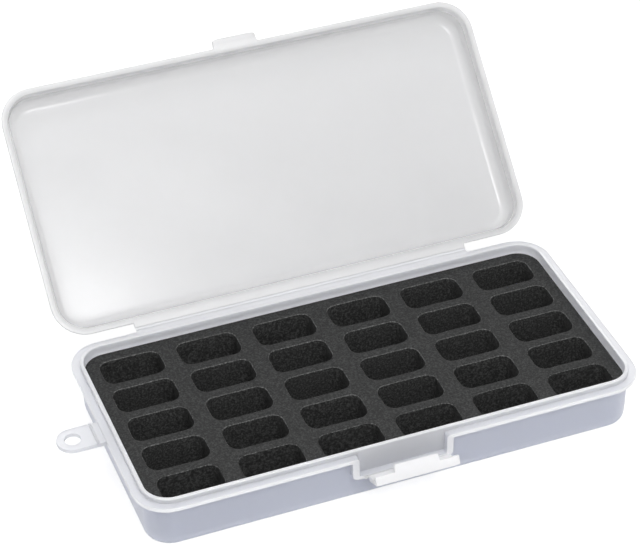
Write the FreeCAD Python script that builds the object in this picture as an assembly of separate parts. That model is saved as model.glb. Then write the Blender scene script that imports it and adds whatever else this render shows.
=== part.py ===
import FreeCAD, Part
import math
import os

# Hinged polypropylene storage case with a pocketed foam insert, lid standing open.
# Millimetres. Origin: centre of the tray's underside. +X along the case, +Z up, front is -Y.

# ---- overall outline (the flange that lid and tray share) ----
CASE_L = 175.8            # flange length, the size the whole case is scaled by
FRONT = -43.75            # front edge of the tray flange
BACK = 44.75              # back edge, a little wider there for the hinge
LID_D = 88.0              # depth of the lid's rim
RIM_R = 11.8              # plan radius of the flange corners

# ---- tray ----
TUB_L = 170.3             # outer face of the wall and lip
TUB_D = 82.8
TUB_R = 9.45
TRAY_H = 20.3             # underside to top of the lip
LIP_T = 1.3               # lip and wall thickness
LIP_RISE = 1.7            # lip above the flange
FLANGE_T = 1.6
FRONT_LEDGE = 2.35        # width of the flange at the front
DRAFT = 0.4               # how far a wall leans in from flange to floor
FLOOR_T = 1.4
FOOT_R = 2.4              # outer radius where wall meets floor

# ---- recess in the front flange, with the latch ----
RECESS_OUT = 35.2         # outside width of the two drop legs
RECESS_IN = 30.3          # clear width between them
RECESS_DROP = 9.2         # lip top to the lowered flange
RECESS_T = 1.4
RECESS_R = 2.0            # outer corners of the lowered flange
AXIS_OUT = 4.05           # latch fold line in front of the flange edge
AXIS_DROP = 5.9           # and below the lip top
FLAP_TILT = 25.0          # the open flap rises this much from level
FLAP_L = 8.6
FLAP_W = 28.8
FLAP_T = 1.3
FLAP_RIM_H = 1.8
FLAP_RIM_T = 1.2
HOOK_W = 15.2
HOOK_H = 4.25
WEB_W = 27.4
WEB_T = 0.6
FILM_T = 0.35

# ---- lid ----
LID_RIM_GAP = 0.3         # lid rim over tray flange when shut
LID_RIM_T = 1.3
LID_WALL_T = 1.2
LID_CLEAR = 0.4           # lid wall to tray lip
LID_DEPTH = 9.5           # rim to the inside of the panel
LID_DRAFT = 0.8
LID_IN_R = 3.0            # inside radius where lid wall meets panel
LID_OPEN = 136.7          # how far the lid stands open

# ---- living hinge between tray and lid ----
HINGE_W = 122.8
HINGE_OUT = 1.4           # fold line behind the tray flange
LEAF_T = 1.0
LEAF_GAP = 0.4            # leaf end to fold line

# ---- tongue on the lid's free edge ----
TONGUE_W = 15.7
TONGUE_ROOT_W = 17.4
TONGUE_TIP_OUT = 3.6      # tip in front of the tray flange when shut
TONGUE_T = 1.4
BEAD_H = 1.0
BEAD_T = 0.9

# ---- hang tab ----
TAB_HOLE_X = -97.7
TAB_HOLE_R = 2.7
TAB_HALF_W = 5.4
TAB_T = 1.6
TAB_DROP = 1.9            # tab's top below the lip top
TAB_RIDGE_X = -90.5
TAB_RIDGE_H = 0.5

# ---- foam insert ----
FOAM_TOP_DROP = 3.35      # foam surface below the lip top
FOAM_GAP = 0.15
FOAM_BASE_T = 3.0
COLUMNS = 6
ROWS = 5
PITCH_X = 27.36
PITCH_Y = 15.44
POCKET_L = 21.1
POCKET_W = 11.9
POCKET_R = 3.5
GRID_X = 0.15             # the grid is cut a little off centre
GRID_Y = -1.3

X_AXIS = FreeCAD.Vector(1, 0, 0)
Z_AXIS = FreeCAD.Vector(0, 0, 1)


def point(x, y, z):
    return FreeCAD.Vector(x, y, z)


def rounded_wire(length, depth, radius, z, cx=0.0, cy=0.0):
    """Rounded rectangle at height z, starting at the same corner each time so that it lofts."""
    hx = length / 2.0
    hy = depth / 2.0
    mid = radius * (1.0 - math.sqrt(0.5))
    edges = []
    for sx, sy in ((1, -1), (1, 1), (-1, 1), (-1, -1)):
        turn_in_x = point(cx + sx * (hx - radius), cy + sy * hy, z)
        turn_in_y = point(cx + sx * hx, cy + sy * (hy - radius), z)
        through = point(cx + sx * (hx - mid), cy + sy * (hy - mid), z)
        if sx * sy < 0:
            start, end = turn_in_x, turn_in_y
        else:
            start, end = turn_in_y, turn_in_x
        if edges:
            edges.append(Part.LineSegment(last, start).toShape())
        edges.append(Part.Arc(start, through, end).toShape())
        last = end
    edges.append(Part.LineSegment(last, edges[0].Vertexes[0].Point).toShape())
    return Part.Wire(edges)


def slab(length, depth, radius, z0, z1, cx=0.0, cy=0.0):
    face = Part.Face(rounded_wire(length, depth, radius, z0, cx, cy))
    return face.extrude(point(0, 0, z1 - z0))


def drafted(length, depth, radius, z0, z1, lean):
    """Rounded block of the given size at z1 whose sides lean in by `lean` at z0."""
    lower = rounded_wire(length - 2 * lean, depth - 2 * lean, radius - lean, z0)
    upper = rounded_wire(length, depth, radius, z1)
    return Part.makeLoft([lower, upper], True, True)


def edges_at(shape, z):
    """Edges that lie wholly at height z."""
    found = []
    for edge in shape.Edges:
        if all(abs(v.Point.z - z) < 1e-4 for v in edge.Vertexes):
            found.append(edge)
    return found


def box(x0, x1, y0, y1, z0, z1):
    return Part.makeBox(x1 - x0, y1 - y0, z1 - z0, point(x0, y0, z0))


def profile_bar(points, width):
    """Solid bar across X whose section is the (y, z) polygon."""
    corners = [point(-width / 2.0, y, z) for y, z in points]
    face = Part.Face(Part.makePolygon(corners + [corners[0]]))
    return face.extrude(point(width, 0, 0))


def export(shape, node):
    solid = shape.removeSplitter()
    solid.exportStep("parts/" + node + ".step")
    print(node, "volume", round(solid.Volume, 1), "valid", solid.isValid(), "solids", len(solid.Solids))


os.makedirs("parts", exist_ok=True)

LIP_TOP = TRAY_H
FLANGE_TOP = LIP_TOP - LIP_RISE
FLANGE_LOW = FLANGE_TOP - FLANGE_T

# ---- tray shell ----
outer = drafted(TUB_L, TUB_D, TUB_R, 0.0, FLANGE_TOP, DRAFT)
outer = outer.makeFillet(FOOT_R, edges_at(outer, 0.0))
outer = outer.fuse(slab(TUB_L, TUB_D, TUB_R, FLANGE_TOP, LIP_TOP))
cavity_l = TUB_L - 2 * LIP_T
cavity_d = TUB_D - 2 * LIP_T
cavity_r = TUB_R - LIP_T
cavity_low = drafted(cavity_l, cavity_d, cavity_r, FLOOR_T, FLANGE_TOP, DRAFT)
cavity_low = cavity_low.makeFillet(FOOT_R - LIP_T, edges_at(cavity_low, FLOOR_T))
cavity = cavity_low.fuse(slab(cavity_l, cavity_d, cavity_r, FLANGE_TOP, LIP_TOP + 1.0))

rim = slab(CASE_L, BACK - FRONT, RIM_R, FLANGE_LOW, FLANGE_TOP, 0.0, (FRONT + BACK) / 2.0)
rim = rim.cut(box(-RECESS_OUT / 2.0, RECESS_OUT / 2.0, FRONT - 1.0, FRONT + FRONT_LEDGE + 0.6,
                  FLANGE_LOW - 1.0, FLANGE_TOP + 1.0))
low_z = LIP_TOP - RECESS_DROP
drop = box(-RECESS_OUT / 2.0, RECESS_OUT / 2.0, FRONT, FRONT + FRONT_LEDGE + 0.6,
           low_z - RECESS_T, FLANGE_TOP)
round_edges = [e for e in drop.Edges
               if abs(e.BoundBox.YLength - (FRONT_LEDGE + 0.6)) < 1e-4 and e.BoundBox.ZMax < low_z]
drop = drop.makeFillet(RECESS_R, round_edges)
drop = drop.cut(box(-RECESS_IN / 2.0, RECESS_IN / 2.0, FRONT - 1.0, FRONT + 4.0, low_z, FLANGE_TOP + 1.0))
tray_leaf = box(-HINGE_W / 2.0, HINGE_W / 2.0, BACK - 1.5, BACK + HINGE_OUT - LEAF_GAP,
                FLANGE_TOP - LEAF_T, FLANGE_TOP)
tray = outer.fuse(rim).fuse(drop).fuse(tray_leaf).cut(cavity)
export(tray, "tray_shell")

# ---- hang tab: round-ended ear with a hole and a small stiffening ridge ----
tab_top = LIP_TOP - TAB_DROP
tab_root = -CASE_L / 2.0
ear = Part.makeCylinder(TAB_HALF_W, TAB_T, point(TAB_HOLE_X, 0, tab_top - TAB_T))
ear = ear.fuse(box(TAB_HOLE_X, tab_root, -TAB_HALF_W, TAB_HALF_W, tab_top - TAB_T, tab_top))
ear = ear.fuse(box(TAB_RIDGE_X - 0.4, TAB_RIDGE_X + 0.4, -TAB_HALF_W, TAB_HALF_W,
                   tab_top, tab_top + TAB_RIDGE_H))
ear = ear.cut(Part.makeCylinder(TAB_HOLE_R, TAB_T + 4.0, point(TAB_HOLE_X, 0, tab_top - TAB_T - 2.0)))
export(ear, "hang_tab")

# ---- latch: web, folding film and flap ----
axis_y = FRONT - AXIS_OUT
axis_z = LIP_TOP - AXIS_DROP
web_low = low_z - RECESS_T
web_end_y = axis_y + 0.25
web_end_z = axis_z - 0.2
web = profile_bar([(FRONT, low_z - 0.2), (web_end_y, web_end_z), (web_end_y, web_end_z - FILM_T),
                   (FRONT - 0.6, low_z - 0.2 - 2 * WEB_T), (FRONT, low_z - 0.2 - 2 * WEB_T)], WEB_W)
export(web, "latch_web")

tilt = math.radians(FLAP_TILT)


def on_flap(s, n):
    """(y, z) of a place s along the open flap from its fold line and n above its upper face."""
    y = axis_y - s * math.cos(tilt) + n * math.sin(tilt)
    z = axis_z + s * math.sin(tilt) + n * math.cos(tilt)
    return (y, z)


film = profile_bar([(web_end_y, web_end_z), on_flap(0.3, 0.0), on_flap(0.3, -FILM_T),
                    (web_end_y, web_end_z - FILM_T)], WEB_W)
export(film, "latch_film")

flap = profile_bar([on_flap(0.3, 0.0), on_flap(FLAP_L, 0.0), on_flap(FLAP_L, -FLAP_T),
                    on_flap(1.6, -FLAP_T), on_flap(0.3, -FILM_T)], FLAP_W)
flap_rim = profile_bar([on_flap(FLAP_L - FLAP_RIM_T, -0.2), on_flap(FLAP_L, -0.2),
                        on_flap(FLAP_L, FLAP_RIM_H), on_flap(FLAP_L - FLAP_RIM_T, FLAP_RIM_H)], FLAP_W)
hook = profile_bar([on_flap(FLAP_L - FLAP_RIM_T, -0.2), on_flap(FLAP_L, -0.2),
                    on_flap(FLAP_L, HOOK_H - 0.5), on_flap(FLAP_L - 0.4, HOOK_H),
                    on_flap(FLAP_L - FLAP_RIM_T, HOOK_H)], HOOK_W)
flap = flap.fuse(flap_rim).fuse(hook)
export(flap, "latch_flap")

# ---- lid, drawn shut and then swung open about the living hinge ----
hinge_y = BACK + HINGE_OUT
hinge_z = FLANGE_TOP + LID_RIM_GAP / 2.0
rim_z = FLANGE_TOP + LID_RIM_GAP


def swing_open(shape):
    opened = shape.copy()
    opened.rotate(point(0, hinge_y, hinge_z), X_AXIS, -LID_OPEN)
    return opened


in_l = TUB_L + 2 * LID_CLEAR
in_d = TUB_D + 2 * LID_CLEAR
in_r = TUB_R + LID_CLEAR
out_l = in_l + 2 * LID_WALL_T
out_d = in_d + 2 * LID_WALL_T
out_r = in_r + LID_WALL_T
panel_in = rim_z + LID_DEPTH
panel_out = panel_in + LID_WALL_T


def lid_block(length, depth, radius, z_top, edge_r):
    lower = rounded_wire(length, depth, radius, rim_z)
    upper = rounded_wire(length - 2 * LID_DRAFT, depth - 2 * LID_DRAFT, radius - LID_DRAFT, z_top)
    block = Part.makeLoft([lower, upper], True, True)
    return block.makeFillet(edge_r, edges_at(block, z_top))


lid = lid_block(out_l, out_d, out_r, panel_out, LID_IN_R + LID_WALL_T)
lid = lid.fuse(slab(CASE_L, LID_D, RIM_R, rim_z, rim_z + LID_RIM_T))
lid = lid.fuse(box(-HINGE_W / 2.0, HINGE_W / 2.0, BACK - 1.5, hinge_y - LEAF_GAP, rim_z, rim_z + LEAF_T))
lid = lid.cut(lid_block(in_l, in_d, in_r, panel_in, LID_IN_R))
export(swing_open(lid), "lid_shell")

# ---- tongue on the lid's free edge, with a bead for the hook ----
lid_front = -LID_D / 2.0
tip_y = FRONT - TONGUE_TIP_OUT
root = TONGUE_ROOT_W / 2.0
half = TONGUE_W / 2.0
plan = [(-root, lid_front), (-half, lid_front - 0.8), (-half, tip_y + 0.5), (-half + 0.5, tip_y),
        (half - 0.5, tip_y), (half, tip_y + 0.5), (half, lid_front - 0.8), (root, lid_front)]
corners = [point(x, y, rim_z) for x, y in plan]
tongue = Part.Face(Part.makePolygon(corners + [corners[0]])).extrude(point(0, 0, TONGUE_T))
bead = profile_bar([(tip_y + 0.1, rim_z + TONGUE_T - 0.2), (tip_y + 0.4, rim_z + TONGUE_T + BEAD_H),
                    (tip_y + BEAD_T, rim_z + TONGUE_T + BEAD_H), (tip_y + BEAD_T + 0.3, rim_z + TONGUE_T - 0.2)],
                   TONGUE_W - 1.2)
export(swing_open(tongue.fuse(bead)), "lid_tongue")

# ---- living hinge film between the tray leaf and the lid leaf, as bent with the lid open ----
open_angle = math.radians(LID_OPEN)


def opened_section(y, z):
    dy = y - hinge_y
    dz = z - hinge_z
    return (hinge_y + dy * math.cos(open_angle) + dz * math.sin(open_angle),
            hinge_z - dy * math.sin(open_angle) + dz * math.cos(open_angle))


leaf_end = BACK + HINGE_OUT - LEAF_GAP
hinge_film = profile_bar([(leaf_end, FLANGE_TOP), opened_section(hinge_y - LEAF_GAP, rim_z),
                          opened_section(hinge_y - LEAF_GAP, rim_z + FILM_T),
                          (leaf_end, FLANGE_TOP - FILM_T)], HINGE_W)
export(hinge_film, "living_hinge")

# ---- foam insert: die-cut grid on a plain sheet, a push fit in the tray ----
foam_top = LIP_TOP - FOAM_TOP_DROP
foam_l = cavity_l - 2 * FOAM_GAP
foam_d = cavity_d - 2 * FOAM_GAP
foam_r = cavity_r - FOAM_GAP
block = drafted(foam_l, foam_d, foam_r, FLOOR_T, FLANGE_TOP, DRAFT)
block = block.makeFillet(FOOT_R - LIP_T, edges_at(block, FLOOR_T))
sheet_top = FLOOR_T + FOAM_BASE_T
block = block.common(box(-CASE_L, CASE_L, -CASE_L, CASE_L, FLOOR_T, foam_top))
foam_base = block.common(box(-CASE_L, CASE_L, -CASE_L, CASE_L, FLOOR_T, sheet_top))
foam_grid = block.common(box(-CASE_L, CASE_L, -CASE_L, CASE_L, sheet_top, foam_top))
for column in range(COLUMNS):
    for row in range(ROWS):
        px = GRID_X + (column - (COLUMNS - 1) / 2.0) * PITCH_X
        py = GRID_Y + (row - (ROWS - 1) / 2.0) * PITCH_Y
        foam_grid = foam_grid.cut(slab(POCKET_L, POCKET_W, POCKET_R, sheet_top - 1.0, foam_top + 1.0, px, py))
export(foam_base, "foam_base")
export(foam_grid, "foam_grid")
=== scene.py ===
import math
import random

import bmesh
import bpy
from mathutils import Matrix, Vector


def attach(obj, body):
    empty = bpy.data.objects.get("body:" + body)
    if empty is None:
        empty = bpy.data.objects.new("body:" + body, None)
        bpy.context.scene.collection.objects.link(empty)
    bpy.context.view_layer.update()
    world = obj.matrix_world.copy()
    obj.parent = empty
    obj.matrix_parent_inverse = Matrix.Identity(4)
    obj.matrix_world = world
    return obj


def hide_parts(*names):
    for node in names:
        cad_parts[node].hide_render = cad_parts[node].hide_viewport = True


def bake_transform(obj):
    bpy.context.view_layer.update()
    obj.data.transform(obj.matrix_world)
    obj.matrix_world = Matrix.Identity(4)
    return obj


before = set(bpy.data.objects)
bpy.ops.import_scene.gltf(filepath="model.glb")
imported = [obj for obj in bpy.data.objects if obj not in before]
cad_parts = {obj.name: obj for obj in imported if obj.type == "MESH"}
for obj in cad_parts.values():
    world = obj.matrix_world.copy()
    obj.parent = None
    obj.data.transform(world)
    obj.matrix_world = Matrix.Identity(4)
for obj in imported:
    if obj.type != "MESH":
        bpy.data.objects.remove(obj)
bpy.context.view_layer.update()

# ---------------------------------------------------------------------------------------------
# Tray shell. One injection moulding in frosted natural polypropylene: a shallow drafted tub with
# a thin raised lip, and a square flange round it that dips into a recess at the front, where the
# latch hangs, and widens at the back into the fixed leaf of the hinge.
# ---------------------------------------------------------------------------------------------
MM = 0.001
FLANGE_X = 87.9
FLANGE_FRONT = -43.75
FLANGE_BACK = 44.75
CORNER_R = 11.8
TUB_X = 85.15
TUB_Y = 41.4
TUB_R = 9.45
LIP_TOP = 20.3
LIP_WALL = 1.3
FLANGE_TOP = 18.6
FLANGE_LOW = 17.0
STRAIGHT_X = TUB_X - TUB_R
STRAIGHT_Y = TUB_Y - TUB_R
HINGE_HALF = 61.4
LEAF_REACH = 1.0


def corner_stops(name, count=10):
    """Stops round one corner, in degrees, without its two ends."""
    return [(name, 90.0 * i / count) for i in range(1, count)]


def spread(low, high, count):
    """Evenly spaced values from low to high, both ends included."""
    return [low + (high - low) * i / (count - 1) for i in range(count)]


def place(stop, hx, hy, r):
    """Where a stop of the outline lies on a rounded rectangle of half sizes hx, hy and corner r."""
    side, value = stop
    if side == "front":
        return value, -hy
    if side == "right":
        return hx, value * (hy - r) / STRAIGHT_Y
    if side == "back":
        return value, hy
    if side == "left":
        return -hx, value * (hy - r) / STRAIGHT_Y
    turn, sx, sy = {"front_right": (-90.0, 1, -1), "back_right": (0.0, 1, 1),
                    "back_left": (90.0, -1, 1), "front_left": (180.0, -1, -1)}[side]
    angle = math.radians(turn + value)
    return sx * (hx - r) + r * math.cos(angle), sy * (hy - r) + r * math.sin(angle)


def outline_ring(plan, hx, hy, r, z):
    ring = []
    for stop in plan:
        x, y = place(stop, hx, hy, r)
        ring.append((x, y, z))
    return ring


def shrunk(ring, share, z):
    """The same ring drawn in towards its middle, for the flat floor or panel inside it."""
    return [(x * share, y * share, z) for x, y, _ in ring]


def skin(name, rings, close_ends=True, painted_highlight_bands=(), painted_light_bands=()):
    """One closed surface through rings of equal length; each end closes onto a middle point.
    Edge bands are the narrow ones seen end-on; they take a whiter copy of the plastic as a painted
    highlight. Rim bands are the flat ones beside them; they take a paler copy as painted light."""
    mesh = bmesh.new()
    rows = [[mesh.verts.new((x * MM, y * MM, z * MM)) for x, y, z in ring] for ring in rings]
    count = len(rings[0])
    for band, (lower, upper) in enumerate(zip(rows, rows[1:])):
        for i in range(count):
            j = (i + 1) % count
            face = mesh.faces.new((lower[i], lower[j], upper[j], upper[i]))
            # material 1 is the whiter copy painted as highlight, material 2 the paler copy painted as
            # light
            face.material_index = 1 if band in painted_highlight_bands else 2 if band in painted_light_bands else 0
    if close_ends:
        for row, flip in ((rows[0], True), (rows[-1], False)):
            middle = mesh.verts.new(sum((v.co for v in row), Vector()) / count)
            for i in range(count):
                j = (i + 1) % count
                corners = (row[j], row[i], middle) if flip else (row[i], row[j], middle)
                mesh.faces.new(corners)
    return as_piece(name, mesh)


def as_piece(name, mesh, sharp=50.0):
    """Turns the mesh into a named piece: faces outwards, smooth, creased only where it turns hard."""
    bmesh.ops.recalc_face_normals(mesh, faces=mesh.faces)
    for face in mesh.faces:
        face.smooth = True
    for edge in mesh.edges:
        if len(edge.link_faces) == 2 and edge.calc_face_angle(0.0) > math.radians(sharp):
            edge.smooth = False
    data = bpy.data.meshes.new(name)
    mesh.to_mesh(data)
    mesh.free()
    piece = bpy.data.objects.new(name, data)
    bpy.context.scene.collection.objects.link(piece)
    weighted = piece.modifiers.new("even_shading", "WEIGHTED_NORMAL")
    weighted.keep_sharp = True
    return piece


RECESS_REACH = 24.0


def recess_edge(leg, brow_z, brow_r, dip_z, dip_r):
    """Left half of one edge of the recess, stop by stop, as (x, z): in along the flange, round
    the brow, down the leg, round the bottom corner, and along the dip to the middle."""
    start = leg + brow_r
    leg_high, leg_low = brow_z - brow_r, dip_z + dip_r
    edge = [(-RECESS_REACH + (RECESS_REACH - start) * i / 3, brow_z) for i in range(4)]
    for i in range(1, 5):
        a = math.radians(90.0 * i / 4)
        edge.append((-start + brow_r * math.sin(a), brow_z - brow_r * (1 - math.cos(a))))
    edge += [(-leg, leg_high + (leg_low - leg_high) * i / 4) for i in range(1, 5)]
    for i in range(1, 7):
        a = math.radians(90.0 * i / 6)
        edge.append((-leg + dip_r * (1 - math.cos(a)), leg_low - dip_r * math.sin(a)))
    edge += [((dip_r - leg) * (1 - i / 7), dip_z) for i in range(1, 8)]
    return edge


under_side = recess_edge(leg=17.6, brow_z=FLANGE_LOW, brow_r=0.5, dip_z=9.7, dip_r=2.0)
top_side = recess_edge(leg=15.15, brow_z=FLANGE_TOP, brow_r=1.2, dip_z=11.1, dip_r=0.5)
left_recess = list(zip(under_side, top_side))
right_recess = [((-lx, lz), (-tx, tz)) for (lx, lz), (tx, tz) in reversed(left_recess[:-1])]
recess = left_recess + right_recess


def plumb_stops(edge):
    """Stops for the plain wall straight above or below the recess, kept a hair apart on its legs."""
    middle = (len(recess) - 1) / 2
    return [("front", pair[edge][0] + 0.01 * (i - middle)) for i, pair in enumerate(recess)]


tray_plan = [("front", x) for x in spread(-STRAIGHT_X, -RECESS_REACH, 9)[:-1]]
recess_first = len(tray_plan)
tray_plan += plumb_stops(1)
tray_plan += [("front", x) for x in spread(RECESS_REACH, STRAIGHT_X, 9)[1:]]
tray_plan += corner_stops("front_right")
tray_plan += [("right", y) for y in spread(-STRAIGHT_Y, STRAIGHT_Y, 9)]
tray_plan += corner_stops("back_right")
back_x = [STRAIGHT_X, 68.0, HINGE_HALF + 0.15, HINGE_HALF] + spread(55.0, -55.0, 19)
back_x += [-HINGE_HALF, -HINGE_HALF - 0.15, -68.0, -STRAIGHT_X]
tray_plan += [("back", x) for x in back_x]
tray_plan += corner_stops("back_left")
tray_plan += [("left", y) for y in spread(STRAIGHT_Y, -STRAIGHT_Y, 9)]
tray_plan += corner_stops("front_left")
foot_plan = list(tray_plan)
foot_plan[recess_first:recess_first + len(recess)] = plumb_stops(0)


def tub_ring(inset, z, lean=0.0):
    """A ring on the tub: inset from the outer face of its wall and lip."""
    o = inset + lean
    plan = foot_plan if inset < 1.0 and z < FLANGE_LOW else tray_plan
    return outline_ring(plan, TUB_X - o, TUB_Y - o, TUB_R - o, z)


def flange_ring(inset, share):
    """A ring on the flange, share of the way up: inset from its edge, or against the wall (None)."""
    ring = []
    middle, half = (FLANGE_FRONT + FLANGE_BACK) / 2, (FLANGE_BACK - FLANGE_FRONT) / 2
    for i, stop in enumerate(tray_plan):
        low, top = FLANGE_LOW, FLANGE_TOP
        if inset is None:
            x, y = place(stop, TUB_X, TUB_Y, TUB_R)
        else:
            x, y = place(stop, FLANGE_X - inset, half - inset, CORNER_R - inset)
            y += middle
            if stop[0] == "back" and abs(stop[1]) <= HINGE_HALF:
                y += LEAF_REACH
                low = FLANGE_TOP - 1.0
        z = low + (top - low) * share
        at = i - recess_first
        if 0 <= at < len(recess):
            (lx, lz), (tx, tz) = recess[at]
            x = lx + (tx - lx) * share
            z = lz + (tz - lz) * share
        ring.append((x, y, z))
    return ring


LEAN = 0.4
FOOT_R = 2.4
FLOOR_TOP = 1.4
FLOOR_R = 1.1
foot_rings = []
for step in range(6):
    a = math.radians(90.0 * step / 5)
    o = FOOT_R * (1 - math.sin(a)) + LEAN
    z = FOOT_R * (1 - math.cos(a))
    foot_rings.append(outline_ring(foot_plan, TUB_X - o, TUB_Y - o, TUB_R - o, z))
floor_shares = (0.25, 0.5, 0.75, 0.93)
tray_rings = [shrunk(foot_rings[0], share, 0.0) for share in floor_shares] + foot_rings
tray_rings += [tub_ring(0.0, z, LEAN * (1 - z / FLANGE_TOP)) for z in (5.0, 8.4)]
flange_first = len(tray_rings)
tray_rings += [flange_ring(inset, share) for inset, share in (
    (None, 0.0), (0.35, 0.0), (0.10, 0.04), (0.0, 0.2),
    (0.0, 0.8), (0.10, 0.96), (0.35, 1.0), (None, 1.0))]
lip_first = len(tray_rings)
tray_rings += [tub_ring(inset, z) for inset, z in (
    (0.0, LIP_TOP - 0.95), (0.0, LIP_TOP - 0.35), (0.1, LIP_TOP - 0.1), (0.35, LIP_TOP),
    (LIP_WALL - 0.35, LIP_TOP), (LIP_WALL - 0.1, LIP_TOP - 0.1), (LIP_WALL, LIP_TOP - 0.35),
    (LIP_WALL, FLANGE_TOP))]
tray_rings += [tub_ring(LIP_WALL, z, LEAN * (1 - z / FLANGE_TOP))
               for z in (15.0, 8.0, FLOOR_TOP + FLOOR_R)]
for step in range(1, 5):
    a = math.radians(90.0 * step / 4)
    inset = LIP_WALL + FLOOR_R * (1 - math.cos(a))
    tray_rings.append(tub_ring(inset, FLOOR_TOP + FLOOR_R * (1 - math.sin(a)), LEAN))
inner_floor = tray_rings[-1]
tray_rings += [shrunk(inner_floor, share, FLOOR_TOP) for share in reversed(floor_shares)]
foot_round = range(len(floor_shares), len(floor_shares) + 2)
flange_edge = range(flange_first + 1, flange_first + 5)
ledge = range(flange_edge.stop, lip_first + 1)
lip_edge = range(lip_first + 1, lip_first + 5)
below_lip = range(lip_edge.stop, lip_edge.stop + 3)
tray = skin("tray_moulding", tray_rings, painted_highlight_bands=(*flange_edge, *lip_edge),
            painted_light_bands=(*foot_round, flange_first, *ledge, *below_lip))
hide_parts("tray_shell")


def noise(nodes, links, coords, scale, detail, rough=0.5):
    node = nodes.new("ShaderNodeTexNoise")
    node.inputs["Scale"].default_value = scale
    node.inputs["Detail"].default_value = detail
    node.inputs["Roughness"].default_value = rough
    links.new(coords, node.inputs["Vector"])
    return node


def ramp(nodes, links, source, stops):
    node = nodes.new("ShaderNodeValToRGB")
    elements = node.color_ramp.elements
    while len(elements) < len(stops):
        elements.new(0.5)
    for element, (position, colour) in zip(elements, stops):
        element.position = position
        element.color = (*colour, 1.0)
    links.new(source, node.inputs["Fac"])
    return node


CLOUD_SCALE, GRAIN_SCALE, RIPPLE_SCALE = 22.0, 2600.0, 40.0


def satin_skin(nodes, links, coords, shader, rough, ripple):
    """Moulded satin finish: roughness that wanders a little, a fine mould grain and a slow ripple."""
    flow = noise(nodes, links, coords, CLOUD_SCALE, 2.0)
    satin = ramp(nodes, links, flow.outputs["Fac"],
                 ((0.0, (rough[0],) * 3), (1.0, (rough[1],) * 3)))
    links.new(satin.outputs["Color"], shader.inputs["Roughness"])
    grain = nodes.new("ShaderNodeBump")
    grain.inputs["Strength"].default_value = 0.08
    grain.inputs["Distance"].default_value = 0.0001
    fine = noise(nodes, links, coords, GRAIN_SCALE, 2.0)
    links.new(fine.outputs["Fac"], grain.inputs["Height"])
    wave = nodes.new("ShaderNodeBump")
    wave.inputs["Strength"].default_value = ripple
    wave.inputs["Distance"].default_value = 0.001
    slow = noise(nodes, links, coords, RIPPLE_SCALE, 0.0)
    links.new(slow.outputs["Fac"], wave.inputs["Height"])
    links.new(grain.outputs["Normal"], wave.inputs["Normal"])
    links.new(wave.outputs["Normal"], shader.inputs["Normal"])
    return flow


PP_CLEAR = (0.95, 0.95, 0.95)
PP_IOR = 1.49


def frosted_pp(name, haze, milk, rough=(0.29, 0.42), ripple=0.0):
    """Natural polypropylene: clear plastic with a share of haze (0 clear, 1 solid) coloured milk."""
    material = bpy.data.materials.new(name)
    material.use_nodes = True
    nodes, links = material.node_tree.nodes, material.node_tree.links
    coords = nodes.new("ShaderNodeTexCoord").outputs["Object"]
    plastic = nodes["Principled BSDF"]
    plastic.inputs["IOR"].default_value = PP_IOR
    plastic.inputs["Transmission Weight"].default_value = 1.0
    plastic.inputs["Base Color"].default_value = (*PP_CLEAR, 1.0)
    flow = satin_skin(nodes, links, coords, plastic, rough, ripple)
    body = nodes.new("ShaderNodeBsdfPrincipled")
    body.inputs["IOR"].default_value = PP_IOR
    body.inputs["Subsurface Weight"].default_value = 0.3
    body.inputs["Subsurface Radius"].default_value = (0.003, 0.003, 0.0033)
    body.inputs["Subsurface Scale"].default_value = 1.0
    satin_skin(nodes, links, coords, body, rough, ripple)
    thin_milk = tuple(c * 0.93 for c in milk)
    cloud = ramp(nodes, links, flow.outputs["Fac"], ((0.0, thin_milk), (1.0, milk)))
    links.new(cloud.outputs["Color"], body.inputs["Base Color"])
    blend = nodes.new("ShaderNodeMixShader")
    blend.inputs["Fac"].default_value = haze
    links.new(plastic.outputs["BSDF"], blend.inputs[1])
    links.new(body.outputs["BSDF"], blend.inputs[2])
    links.new(blend.outputs["Shader"], nodes["Material Output"].inputs["Surface"])
    return material


tray_pp = frosted_pp("frosted_polypropylene", haze=0.38, milk=(0.73, 0.77, 0.93))
# the edge copy is whiter as a painted highlight: the glow along edges seen end-on
edge_painted_highlight_pp = frosted_pp("frosted_polypropylene_edge_painted_highlight", haze=0.62, milk=(0.93, 0.935, 0.965))
# the rim copy is paler as painted light, on the flat faces that catch more of it
rim_painted_light_pp = frosted_pp("frosted_polypropylene_rim_painted_light", haze=0.5, milk=(0.82, 0.83, 0.875))
for look in (tray_pp, edge_painted_highlight_pp, rim_painted_light_pp):
    tray.data.materials.append(look)
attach(tray, "case")

# ---------------------------------------------------------------------------------------------
# Hang tab. A flat round-ended ear moulded on the tray's left end, with a hole for a shop hook and
# a small cross ridge where it leaves the flange.
# ---------------------------------------------------------------------------------------------
TAB_X = -97.7
TAB_R = 5.4
TAB_HOLE = 2.7
TAB_TOP = 18.4
TAB_LOW = 16.8
TAB_ROOT = -FLANGE_X
TAB_ROUND = 0.3
TAB_ROUND_STEP = 0.08
RIDGE_X = -90.5


def ear_point(angle, inset):
    """Outline of the ear seen from its hole: a half round, then straight sides to the root."""
    c, s = math.cos(angle), math.sin(angle)
    reach = TAB_R - inset
    if c <= 0.0:
        return TAB_X + reach * c, reach * s
    run = TAB_ROOT - TAB_X
    if abs(s) * run > reach * c:
        return TAB_X + reach * c / abs(s), math.copysign(reach, s)
    return TAB_ROOT, run * s / c


EAR_STOPS = 72
ear_turns = [math.radians(360.0 * i / EAR_STOPS + 2.5) for i in range(EAR_STOPS)]


def ear_ring(inset, z):
    return [(*ear_point(a, inset), z) for a in ear_turns]


def hole_ring(r, z):
    return [(TAB_X + r * math.cos(a), r * math.sin(a), z) for a in ear_turns]


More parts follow.
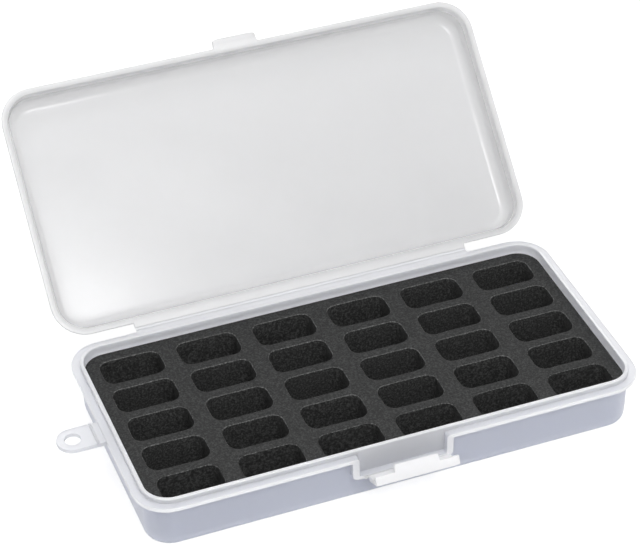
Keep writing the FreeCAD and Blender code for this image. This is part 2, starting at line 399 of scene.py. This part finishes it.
round_down = ((TAB_ROUND, 0.0), (TAB_ROUND_STEP, TAB_ROUND_STEP), (0.0, TAB_ROUND))
ear_rings = [hole_ring(TAB_HOLE + TAB_ROUND, TAB_LOW)]
ear_rings += [ear_ring(inset, TAB_LOW + up) for inset, up in round_down]
ear_rings += [ear_ring(inset, TAB_TOP - down) for inset, down in reversed(round_down)]
ear_rings += [hole_ring(TAB_HOLE + widen, TAB_TOP - down) for widen, down in round_down]
ear_rings += [hole_ring(TAB_HOLE + widen, TAB_LOW + up) for widen, up in reversed(round_down[1:])]
ear = skin("hang_tab_ear", ear_rings + ear_rings[:1], close_ends=False)
ear_mesh = bmesh.new()
ear_mesh.from_mesh(ear.data)
bmesh.ops.remove_doubles(ear_mesh, verts=ear_mesh.verts, dist=1e-7)
ridge_section = [(-0.45, -0.1), (-0.42, 0.25), (-0.2, 0.5), (0.2, 0.5), (0.42, 0.25), (0.45, -0.1)]
ridge_rows = []
for y, low in ((-5.3, 0.25), (-5.0, 0.0), (0.0, 0.0), (5.0, 0.0), (5.3, 0.25)):
    ridge_rows.append([
        ear_mesh.verts.new(((RIDGE_X + dx) * MM, y * MM, (TAB_TOP + max(dz - low, -0.1)) * MM))
        for dx, dz in ridge_section])
for near, far in zip(ridge_rows, ridge_rows[1:]):
    for i in range(len(ridge_section)):
        j = (i + 1) % len(ridge_section)
        ear_mesh.faces.new((near[i], near[j], far[j], far[i]))
ear_mesh.faces.new(ridge_rows[0])
ear_mesh.faces.new(list(reversed(ridge_rows[-1])))
bmesh.ops.recalc_face_normals(ear_mesh, faces=ear_mesh.faces)
for face in ear_mesh.faces:
    face.smooth = True
ear_mesh.to_mesh(ear.data)
ear_mesh.free()
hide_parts("hang_tab")
# the tab takes the paler rim copy of the plastic: painted light, as on the flange top
ear.data.materials.append(rim_painted_light_pp)
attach(ear, "case")

# ---------------------------------------------------------------------------------------------
# Front latch. Part of the same moulding: a thin web off the recess flange, a folding film, and a
# flap with an end rim and a hook, which swings up so that the hook goes over the lid's tongue.
# ---------------------------------------------------------------------------------------------
FOLD_Y = FLANGE_FRONT - 4.05
FOLD_Z = LIP_TOP - 5.9
FLAP_TILT = math.radians(25.0)
FLAP_HALF = 14.4
HOOK_HALF = 7.6
WEB_HALF = 13.7
WEB_TOP = 10.9


def on_flap(s, n):
    return (FOLD_Y - s * math.cos(FLAP_TILT) + n * math.sin(FLAP_TILT),
            FOLD_Z + s * math.sin(FLAP_TILT) + n * math.cos(FLAP_TILT))


def plain(point, half):
    """A corner of the section that is the same with and without the hook."""
    return point, point, half


web_root = FLANGE_FRONT
web_end = (FOLD_Y + 0.25, FOLD_Z - 0.2)
web_sag = ((web_root + web_end[0]) / 2, (WEB_TOP + web_end[1]) / 2 - 0.1)
film_low = (FOLD_Y + 0.25, FOLD_Z - 0.55)
# each line: (y, z) of the rim-only section, (y, z) of the section through the hook, half width there
section = [
    plain((web_root, WEB_TOP), WEB_HALF), plain(web_sag, WEB_HALF), plain(web_end, WEB_HALF),
    plain(on_flap(0.3, 0.0), WEB_HALF),
    plain(on_flap(0.9, 0.05), FLAP_HALF - 0.15),
    plain(on_flap(4.0, 0.0), FLAP_HALF),
    plain(on_flap(7.1, 0.0), FLAP_HALF),
    (on_flap(7.4, 0.3), on_flap(7.4, 0.35), FLAP_HALF),
    (on_flap(7.4, 1.5), on_flap(7.4, 3.7), FLAP_HALF),
    (on_flap(7.55, 1.75), on_flap(7.5, 4.15), FLAP_HALF - 0.1),
    (on_flap(8.4, 1.75), on_flap(8.15, 4.25), FLAP_HALF - 0.1),
    (on_flap(8.58, 1.5), on_flap(8.5, 3.8), FLAP_HALF),
    plain(on_flap(8.6, 0.0), FLAP_HALF),
    plain(on_flap(8.58, -1.1), FLAP_HALF),
    plain(on_flap(8.4, -1.3), FLAP_HALF - 0.1),
    plain(on_flap(1.6, -1.3), FLAP_HALF - 0.1),
    plain(on_flap(0.9, -0.9), FLAP_HALF - 0.3),
    plain(on_flap(0.3, -0.35), WEB_HALF),
    plain(film_low, WEB_HALF),
    plain((web_root - 0.6, 9.95), WEB_HALF), plain((web_root, 9.75), WEB_HALF)]
# across the width: share of the half width, and how much of the hook's section is there
across = [(-1.0, 0.0), (-0.985, 0.0), (-0.8, 0.0)]
across += [(-(HOOK_HALF + 0.12) / FLAP_HALF, 0.0), (-HOOK_HALF / FLAP_HALF, 0.85)]
across += [(-(HOOK_HALF - 0.2) / FLAP_HALF, 1.0), (-0.25, 1.0), (0.0, 1.0)]
across += [(-share, hook) for share, hook in reversed(across[:-1])]
latch_mesh = bmesh.new()
latch_rows = []
for share, hook in across:
    row = []
    for (ry, rz), (hy, hz), half in section:
        x = share * half
        y = ry + (hy - ry) * hook
        z = rz + (hz - rz) * hook
        row.append(latch_mesh.verts.new((x * MM, y * MM, z * MM)))
    latch_rows.append(row)
for near, far in zip(latch_rows, latch_rows[1:]):
    for i in range(len(section)):
        j = (i + 1) % len(section)
        latch_mesh.faces.new((near[i], near[j], far[j], far[i]))
latch_mesh.faces.new(latch_rows[0])
latch_mesh.faces.new(list(reversed(latch_rows[-1])))
latch = as_piece("latch_moulding", latch_mesh, sharp=40.0)
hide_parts("latch_web", "latch_film", "latch_flap")
latch_pp = frosted_pp("frosted_polypropylene_thick", haze=0.6, milk=(0.975, 0.975, 0.995))
latch.data.materials.append(latch_pp)
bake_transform(latch)

# ---------------------------------------------------------------------------------------------
# Foam insert. Two sheets of charcoal closed-cell foam glued together: a plain one underneath and
# a die-cut one on top with six columns and five rows of round-cornered pockets. It is a push fit
# in the tray, cut a touch nearer the front.
# ---------------------------------------------------------------------------------------------
FOAM_TOP = LIP_TOP - 3.35
SHEET_LOW = FLOOR_TOP + 0.02
SHEET_TOP = 4.4
GRID_LOW = SHEET_TOP + 0.02
COLUMNS = 6
ROWS = 5
PITCH_X = 27.36
PITCH_Y = 15.44
POCKET_L = 21.1
POCKET_W = 11.9
POCKET_R = 3.5
GRID_X = 0.15
GRID_Y = -1.3
FOAM_INSET = 1.45


def foam_outline(inset, z):
    o = FOAM_INSET + inset + LEAN * (1 - z / FLANGE_TOP)
    return outline_ring(tray_plan, TUB_X - o, TUB_Y - o, TUB_R - o, z)


sheet_edge = foam_outline(1.1, SHEET_LOW)
sheet_rings = [shrunk(sheet_edge, share, SHEET_LOW) for share in (0.3, 0.7)]
sheet_rings.append(sheet_edge)
sheet_rings += [foam_outline(inset, z) for inset, z in (
    (0.3, 1.8), (0.05, 2.5), (0.05, 4.3), (0.2, SHEET_TOP))]
sheet_rings += [shrunk(sheet_rings[-1], share, SHEET_TOP) for share in (0.85, 0.6, 0.3)]
foam_sheet = skin("foam_back_sheet", sheet_rings)
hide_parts("foam_base")

cut = random.Random(7)
POINT_GAP = 1.3


def pocket_ring(cx, cy, grow, z, wander):
    """Outline of one pocket; wander is the small unevenness that the cutting die leaves."""
    hx, hy = POCKET_L / 2 + grow, POCKET_W / 2 + grow
    r = POCKET_R + grow
    points = []
    for sx, sy, first in ((1, -1, -90.0), (1, 1, 0.0), (-1, 1, 90.0), (-1, -1, 180.0)):
        for i in range(8):
            a = math.radians(first + 90.0 * i / 7)
            points.append([sx * (hx - r) + r * math.cos(a), sy * (hy - r) + r * math.sin(a)])
    full = []
    for i, point in enumerate(points):
        after = points[(i + 1) % len(points)]
        full.append(point)
        gap = math.hypot(after[0] - point[0], after[1] - point[1])
        pieces = int(gap // POINT_GAP)
        for k in range(1, pieces):
            full.append([p + (q - p) * k / pieces for p, q in zip(point, after)])
    ring = []
    for i, (x, y) in enumerate(full):
        push = wander[i % len(wander)]
        reach = math.hypot(x, y)
        ring.append((cx + x * (1 + push / reach), cy + y * (1 + push / reach), z))
    return ring


foam_mesh = bmesh.new()


def add_ring(points):
    return [foam_mesh.verts.new((x * MM, y * MM, z * MM)) for x, y, z in points]


def join(lower, upper, finish):
    count = len(lower)
    for i in range(count):
        j = (i + 1) % count
        face = foam_mesh.faces.new((lower[i], lower[j], upper[j], upper[i]))
        face.material_index = finish


def ring_edges(row):
    return [foam_mesh.edges.get((row[i], row[(i + 1) % len(row)])) for i in range(len(row))]


SOFT_EDGE = 0.55
ROLL_WIDE, ROLL_WIDE_FRONT_ROW, ROLL_DEEP = 1.5, 0.95, 0.5
CUT_WANDER, CUT_SWAY = 0.16, 0.03
CUT_WAVES, CUT_STOPS = 9, 72
FOAM_SKIN, FOAM_WALL, FOAM_CUT_LIP_HIGHLIGHT = 0, 1, 2
outer_rows = [add_ring(foam_outline(0.0, z)) for z in (GRID_LOW, 9.0, FOAM_TOP - SOFT_EDGE)]
for step in range(1, 4):
    a = math.radians(30.0 * step)
    inset, drop = SOFT_EDGE * (1 - math.cos(a)), SOFT_EDGE * (1 - math.sin(a))
    outer_rows.append(add_ring(foam_outline(inset, FOAM_TOP - drop)))
for lower, upper in zip(outer_rows, outer_rows[1:]):
    join(lower, upper, FOAM_SKIN)
top_edges = ring_edges(outer_rows[-1])
bottom_edges = ring_edges(outer_rows[0])
for column in range(COLUMNS):
    for row in range(ROWS):
        cx = GRID_X + (column - (COLUMNS - 1) / 2) * PITCH_X
        cy = GRID_Y + (row - (ROWS - 1) / 2) * PITCH_Y
        slow = [cut.uniform(-CUT_WANDER, CUT_WANDER) for _ in range(CUT_WAVES)]
        wander = []
        for i in range(CUT_STOPS):
            t = i / CUT_STOPS * len(slow)
            k = int(t)
            share = (1 - math.cos(math.pi * (t - k))) / 2
            wander.append(slow[k] * (1 - share) + slow[(k + 1) % len(slow)] * share)
        rows = []
        wide = ROLL_WIDE if row else ROLL_WIDE_FRONT_ROW
        for step in range(7):
            a = math.radians(15.0 * step)
            rows.append(add_ring(pocket_ring(cx, cy, wide * (1 - math.sin(a)),
                                             FOAM_TOP - ROLL_DEEP * (1 - math.cos(a)), wander)))
        for z in (15.0, 13.0, 11.0, 9.0, 7.0, 5.4, GRID_LOW):
            sway = [w + cut.uniform(-CUT_SWAY, CUT_SWAY) for w in wander]
            rows.append(add_ring(pocket_ring(cx, cy, 0.0, z, sway)))
        for step, (upper, lower) in enumerate(zip(rows, rows[1:])):
            # the last two bands of the rounded edge into each pocket take the pale lip tone: open
            # cells and painted highlight
            join(upper, lower, FOAM_SKIN if step < 4 else FOAM_CUT_LIP_HIGHLIGHT if step < 6 else FOAM_WALL)
        top_edges += ring_edges(rows[0])
        bottom_edges += ring_edges(rows[-1])
bmesh.ops.triangle_fill(foam_mesh, use_beauty=True, use_dissolve=False, edges=top_edges)
bmesh.ops.triangle_fill(foam_mesh, use_beauty=True, use_dissolve=False, edges=bottom_edges)
foam_grid = as_piece("foam_pocket_grid", foam_mesh, sharp=60.0)
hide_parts("foam_grid")


CELL_SCALE, SPECK_SCALE = 2300.0, 1500.0


def charcoal_foam(name, tones, gloss):
    """Closed-cell foam: a fine pitted skin, nearly matt, with paler specks where cells are cut
    open. The three tones go from the pits to the specks."""
    material = bpy.data.materials.new(name)
    material.use_nodes = True
    nodes, links = material.node_tree.nodes, material.node_tree.links
    shader = nodes["Principled BSDF"]
    shader.inputs["Specular IOR Level"].default_value = 0.4
    coords = nodes.new("ShaderNodeTexCoord").outputs["Object"]
    cells = nodes.new("ShaderNodeTexVoronoi")
    cells.inputs["Scale"].default_value = CELL_SCALE
    links.new(coords, cells.inputs["Vector"])
    specks = noise(nodes, links, coords, SPECK_SCALE, 3.0, 0.7)
    tone = ramp(nodes, links, specks.outputs["Fac"], list(zip((0.36, 0.5, 0.62), tones)))
    links.new(tone.outputs["Color"], shader.inputs["Base Color"])
    matt = ramp(nodes, links, specks.outputs["Fac"],
                ((0.3, (gloss,) * 3), (0.7, (gloss + 0.15,) * 3)))
    links.new(matt.outputs["Color"], shader.inputs["Roughness"])
    pits = nodes.new("ShaderNodeBump")
    pits.inputs["Strength"].default_value = 0.5
    pits.inputs["Distance"].default_value = 0.0002
    links.new(cells.outputs["Distance"], pits.inputs["Height"])
    links.new(pits.outputs["Normal"], shader.inputs["Normal"])
    return material


foam_skin = charcoal_foam("charcoal_foam", (
    (0.0055, 0.0057, 0.0057), (0.0155, 0.0159, 0.0159), (0.040, 0.041, 0.0405)), gloss=0.6)
foam_wall = charcoal_foam("charcoal_foam_cut_wall", (
    (0.0115, 0.0118, 0.0116), (0.030, 0.0305, 0.030), (0.076, 0.077, 0.076)), gloss=0.5)
# the cut lip is paler for its open cells and, beyond that, as a painted highlight along the pocket
# edges
foam_cut_lip_and_painted_highlight = charcoal_foam("charcoal_foam_cut_lip_and_painted_highlight", (
    (0.022, 0.0225, 0.022), (0.060, 0.061, 0.060), (0.150, 0.152, 0.150)), gloss=0.5)
for part in (foam_sheet, foam_grid):
    for look in (foam_skin, foam_wall, foam_cut_lip_and_painted_highlight):
        part.data.materials.append(look)
    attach(part, "case")

# ---------------------------------------------------------------------------------------------
# Lid. The other half of the moulding: a shallow dished panel with a flat rim that sits on the
# tray's flange when shut, a tongue in the middle of its free edge, and the moving hinge leaf.
# It is built shut and then swung open.
# ---------------------------------------------------------------------------------------------
LID_Y = 44.0
RIM_Z = FLANGE_TOP + 0.3
HINGE_Y = FLANGE_BACK + 1.4
HINGE_Z = FLANGE_TOP + 0.15
LID_OPEN = math.radians(136.7)
TONGUE_OUT = 3.6 - FLANGE_FRONT - LID_Y
LEAF_GAP = 0.4
TONGUE_SHOULDER = 7.85

tongue_x = [-24.0, -16.0, -10.4, -8.75, -8.1, -TONGUE_SHOULDER, -7.35, -6.0, -3.0, 0.0]
tongue_x += [-x for x in reversed(tongue_x[:-1])]
front_x = spread(-STRAIGHT_X, tongue_x[0], 8)[:-1] + tongue_x
front_x += spread(tongue_x[-1], STRAIGHT_X, 8)[1:]
lid_plan = [("front", x) for x in front_x]
lid_plan += corner_stops("front_right")
lid_plan += [("right", y) for y in spread(-STRAIGHT_Y, STRAIGHT_Y, 9)]
lid_plan += corner_stops("back_right")
lid_plan += [("back", x) for x in back_x]
lid_plan += corner_stops("back_left")
lid_plan += [("left", y) for y in spread(STRAIGHT_Y, -STRAIGHT_Y, 9)]
lid_plan += corner_stops("front_left")


# from outside in: distance from the middle, and how much of the tongue is there
TONGUE_STEPS = ((8.75, 0.0), (8.1, 0.12), (TONGUE_SHOULDER, 0.24), (7.3, 0.92))


def tongue_share(x):
    """How far the tongue stands out at this x, as a share of its full length."""
    for half, share in TONGUE_STEPS:
        if abs(x) >= half:
            return share
    return 1.0


def lid_ring(hx, hy, r, z, reach=0.0, lift=0.0):
    """Ring of the lid; reach 1 takes it out to the tip of the tongue and the end of the hinge leaf."""
    ring = []
    for stop in lid_plan:
        x, y = place(stop, hx, hy, r)
        height = z
        if reach and stop[0] == "front":
            share = tongue_share(stop[1])
            y -= TONGUE_OUT * share * reach
            if share > 0.9:
                height += lift
            if abs(stop[1]) == TONGUE_SHOULDER:
                y = -(LID_Y + TONGUE_OUT * 0.85 * reach)
        if reach and stop[0] == "back" and abs(stop[1]) <= HINGE_HALF:
            y += (HINGE_Y - LEAF_GAP - LID_Y) * reach
            height = min(height, RIM_Z + 1.0)
        ring.append((x, y, height))
    return ring


LID_CLEAR = 0.4


def shell_ring(grow, z, lean=0.0):
    """Ring on the lid's wall: grow outwards from its inner face."""
    d = grow - lean
    return lid_ring(TUB_X + LID_CLEAR + d, TUB_Y + LID_CLEAR + d, TUB_R + LID_CLEAR + d, z)


LID_DEPTH = 9.5
LID_WALL = 1.2
LID_LEAN = 0.8
BEND_IN = 3.0
BEND_OUT = BEND_IN + LID_WALL
RIM_TOP = RIM_Z + 1.3
panel_in = RIM_Z + LID_DEPTH
panel_out = panel_in + LID_WALL
# the panel is dished: how far it sinks at each share of the way out to its edge
dish = ((0.1, -0.35), (0.3, -0.31), (0.5, -0.24), (0.7, -0.15), (0.85, -0.06), (0.95, 0.0))
inside_rim = shell_ring(-BEND_IN, panel_in, LID_LEAN)
lid_rings = [shrunk(inside_rim, share, panel_in + sink) for share, sink in dish]
for step in range(7):
    a = math.radians(90.0 * step / 6)
    grow, drop = -BEND_IN * (1 - math.sin(a)), BEND_IN * (1 - math.cos(a))
    lid_rings.append(shell_ring(grow, panel_in - drop, LID_LEAN * (1 - 0.3 * (1 - math.cos(a)))))
rim_first = len(lid_rings)
lid_rings += [shell_ring(grow, RIM_Z + up, lean) for grow, up, lean in (
    (0.0, 3.0, LID_LEAN * 0.3), (0.0, 0.4, 0.0), (0.1, 0.1, 0.0), (0.35, 0.0, 0.0))]
# round the rim's edge: inset, height, share of the tongue's reach, and the tongue's raised tip
lid_rings += [lid_ring(FLANGE_X - inset, LID_Y - inset, CORNER_R - inset, RIM_Z + up, reach, lift)
              for inset, up, reach, lift in (
                  (0.35, 0.0, 0.9, 0.0), (0.09, 0.09, 0.98, 0.0), (0.0, 0.35, 1.0, 0.0),
                  (0.0, 0.95, 1.0, 0.0), (0.09, 1.21, 0.99, 1.0), (0.3, 1.3, 0.9, 1.15),
                  (0.45, 1.3, 0.72, 1.1), (0.55, 1.3, 0.62, 0.1))]
rim_last = len(lid_rings)
lid_rings += [shell_ring(LID_WALL + 0.15, RIM_TOP), shell_ring(LID_WALL, RIM_TOP + 0.2),
              shell_ring(LID_WALL, RIM_Z + 5.5, LID_LEAN * 0.5)]
for step in range(7):
    a = math.radians(90.0 * step / 6)
    grow, drop = LID_WALL - BEND_OUT * (1 - math.cos(a)), BEND_OUT * (1 - math.sin(a))
    lid_rings.append(shell_ring(grow, panel_out - drop, LID_LEAN * (0.7 + 0.3 * math.sin(a))))
outside_rim = lid_rings[-1]
lid_rings += [shrunk(outside_rim, share, panel_out + sink) for share, sink in reversed(dish)]
lid = skin("lid_moulding", lid_rings, painted_highlight_bands=range(rim_first, rim_last))
swing = (Matrix.Translation((0.0, HINGE_Y * MM, HINGE_Z * MM)) @ Matrix.Rotation(-LID_OPEN, 4, "X")
         @ Matrix.Translation((0.0, -HINGE_Y * MM, -HINGE_Z * MM)))
lid.data.transform(swing)
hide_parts("lid_shell", "lid_tongue")
lid_pp = frosted_pp("frosted_polypropylene_lid", haze=0.5, milk=(0.65, 0.651, 0.66),
                    rough=(0.16, 0.26), ripple=0.08)
# the lid's edge copy is paler as a painted highlight, for the glow along its rim seen end-on
lid_edge_painted_highlight_pp = frosted_pp("frosted_polypropylene_lid_edge_painted_highlight", haze=0.6, milk=(0.76, 0.762, 0.77))
for look in (lid_pp, lid_edge_painted_highlight_pp):
    lid.data.materials.append(look)
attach(lid, "lid")

# ---------------------------------------------------------------------------------------------
# Living hinge. The film between the two leaves, about a third of a millimetre thick, moulded in
# and flexed while warm so that it creases along its middle and can fold for years.
# ---------------------------------------------------------------------------------------------
FILM = 0.35
CREASE_Z = HINGE_Z - 0.06
leaf_end = FLANGE_BACK + LEAF_REACH


def opened(y, z):
    """Where a point of the shut lid is once the lid has swung open."""
    dy, dz = y - HINGE_Y, z - HINGE_Z
    return (HINGE_Y + dy * math.cos(LID_OPEN) + dz * math.sin(LID_OPEN),
            HINGE_Z - dy * math.sin(LID_OPEN) + dz * math.cos(LID_OPEN))


film_top = [(leaf_end - 0.05, FLANGE_TOP - 0.02), (leaf_end + 0.2, FLANGE_TOP + 0.02),
            (HINGE_Y, CREASE_Z),
            opened(HINGE_Y - 0.2, RIM_Z), opened(HINGE_Y - 0.45, RIM_Z + 0.02)]
film_under = [opened(HINGE_Y - 0.45, RIM_Z + FILM), opened(HINGE_Y - 0.2, RIM_Z + FILM),
              (HINGE_Y + 0.08, CREASE_Z - FILM),
              (leaf_end + 0.2, FLANGE_TOP - FILM), (leaf_end - 0.05, FLANGE_TOP - FILM)]
film_section = film_top + film_under
film_mesh = bmesh.new()
film_rows = [[film_mesh.verts.new((x * MM, y * MM, z * MM)) for y, z in film_section]
             for x in spread(-HINGE_HALF, HINGE_HALF, 25)]
for near, far in zip(film_rows, film_rows[1:]):
    for i in range(len(film_section)):
        j = (i + 1) % len(film_section)
        film_mesh.faces.new((near[i], near[j], far[j], far[i]))
film_mesh.faces.new(film_rows[0])
film_mesh.faces.new(list(reversed(film_rows[-1])))
hinge_film = as_piece("living_hinge_film", film_mesh)
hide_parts("living_hinge")
# the film takes the paler rim copy of the plastic: painted light
hinge_film.data.materials.append(rim_painted_light_pp)
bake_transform(hinge_film)

# ---------------------------------------------------------------------------------------------
# Where the case stands: a plain white sweep, soft light from a large box overhead, a smaller one
# in front and the room, and the camera in front and to the left, looking down.
# ---------------------------------------------------------------------------------------------
SWEEP_NEAR, SWEEP_BACK, SWEEP_R, SWEEP_TOP = -1.6, 0.9, 0.5, 1.6
SWEEP_HALF = 2.2
SWEEP_DROP = 0.0001
floor_mesh = bmesh.new()
sweep = [(SWEEP_NEAR, 0.0), (SWEEP_BACK, 0.0)]
for degrees in range(10, 91, 10):
    a = math.radians(degrees)
    sweep.append((SWEEP_BACK + SWEEP_R * math.sin(a), SWEEP_R - SWEEP_R * math.cos(a)))
sweep.append((SWEEP_BACK + SWEEP_R, SWEEP_TOP))
floor_rows = [[floor_mesh.verts.new((x, y, z - SWEEP_DROP)) for y, z in sweep]
              for x in (-SWEEP_HALF, SWEEP_HALF)]
for i in range(len(sweep) - 1):
    floor_mesh.faces.new((floor_rows[0][i], floor_rows[1][i],
                          floor_rows[1][i + 1], floor_rows[0][i + 1]))
floor = as_piece("white_sweep", floor_mesh)
paper = bpy.data.materials.new("white_paper")
paper.use_nodes = True
paper_nodes, paper_links = paper.node_tree.nodes, paper.node_tree.links
paper_shader = paper_nodes["Principled BSDF"]
paper_shader.inputs["Roughness"].default_value = 0.9
paper_shader.inputs["Emission Strength"].default_value = 1.4
paper_coords = paper_nodes.new("ShaderNodeTexCoord").outputs["Object"]
paper_cloud = noise(paper_nodes, paper_links, paper_coords, 3.0, 2.0)
paper_tone = ramp(paper_nodes, paper_links, paper_cloud.outputs["Fac"],
                  ((0.0, (0.47, 0.47, 0.47)), (1.0, (0.50, 0.50, 0.50))))
paper_links.new(paper_tone.outputs["Color"], paper_shader.inputs["Base Color"])
paper_links.new(paper_tone.outputs["Color"], paper_shader.inputs["Emission Color"])
floor.data.materials.append(paper)

scene = bpy.context.scene
scene.view_settings.view_transform = "Standard"
world = bpy.data.worlds.new("room")
scene.world = world
world.use_nodes = True
room_light = world.node_tree.nodes["Background"]
room_light.inputs["Color"].default_value = (1.0, 1.0, 1.0, 1.0)
room_light.inputs["Strength"].default_value = 0.6


def soft_box(name, spot, target, size, watts):
    """A rectangular light box hung at spot and turned towards target."""
    light = bpy.data.lights.new(name, "AREA")
    light.shape = "RECTANGLE"
    light.size, light.size_y = size
    light.energy = watts
    lamp = bpy.data.objects.new(name, light)
    scene.collection.objects.link(lamp)
    lamp.location = spot
    lamp.rotation_euler = (Vector(target) - Vector(spot)).to_track_quat("-Z", "Y").to_euler()


soft_box("overhead_box", (-0.15, 0.0, 1.1), (-0.15, 0.0, 0.0), (0.9, 0.9), 4.0)
soft_box("front_box", (-0.02, -0.62, 0.80), (0.0, 0.03, 0.04), (0.32, 0.26), 4.5)

camera_data = bpy.data.cameras.new("camera")
camera_data.lens = 136.76
camera_data.sensor_width = 36.0
camera_data.clip_start = 0.01
camera = bpy.data.objects.new("camera", camera_data)
scene.collection.objects.link(camera)
camera.location = (-0.23286, -0.58270, 0.53642)
camera.rotation_euler = (math.radians(52.696), math.radians(0.5325), math.radians(-21.2045))
scene.camera = camera
